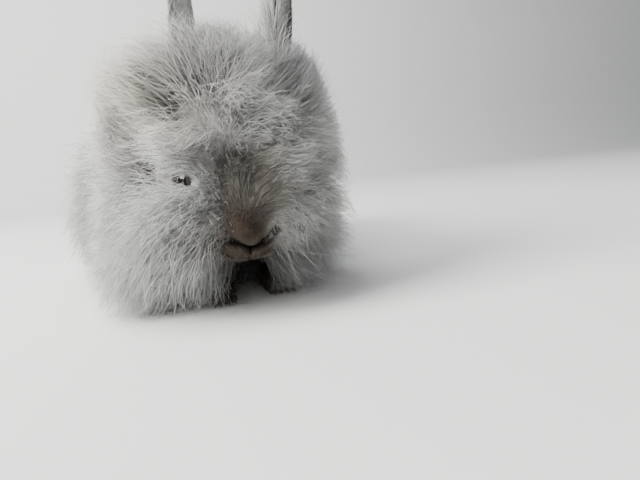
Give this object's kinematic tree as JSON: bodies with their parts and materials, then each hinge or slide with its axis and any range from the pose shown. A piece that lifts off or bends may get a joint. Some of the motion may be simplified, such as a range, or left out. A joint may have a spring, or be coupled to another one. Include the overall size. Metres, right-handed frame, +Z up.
{
  "type": "lionhead rabbit",
  "caption": "Young lionhead rabbit at rest, long woolly mane and flanks, upright ears, tucked feet, as a still display model.",
  "frame": {"origin": "on the floor, under the middle of the belly", "axes": "+Z up, the rabbit looks along -Y, its left side is towards +X"},
  "size_m": [0.1381, 0.2148, 0.1243],
  "materials": {
    "wool": "long soft blue-grey wool with pale tips",
    "short_fur": "short grey fur that lies flat",
    "ear_fur": "thin grey fur over a dusky skin",
    "eye": "dark, wet and glossy"
  },
  "bodies": {
    "root": {"head": "wool", "neck": "wool", "torso": "wool", "tail": "wool", "haunch_left": "wool", "haunch_right": "wool", "forearm_left": "short_fur", "forearm_right": "short_fur", "forepaw_left": "short_fur", "forepaw_right": "short_fur", "hindfoot_left": "short_fur", "hindfoot_right": "short_fur", "ear_left": "ear_fur", "ear_right": "ear_fur", "eye_left": "eye", "eye_right": "eye"}
  },
  "joints": []
}
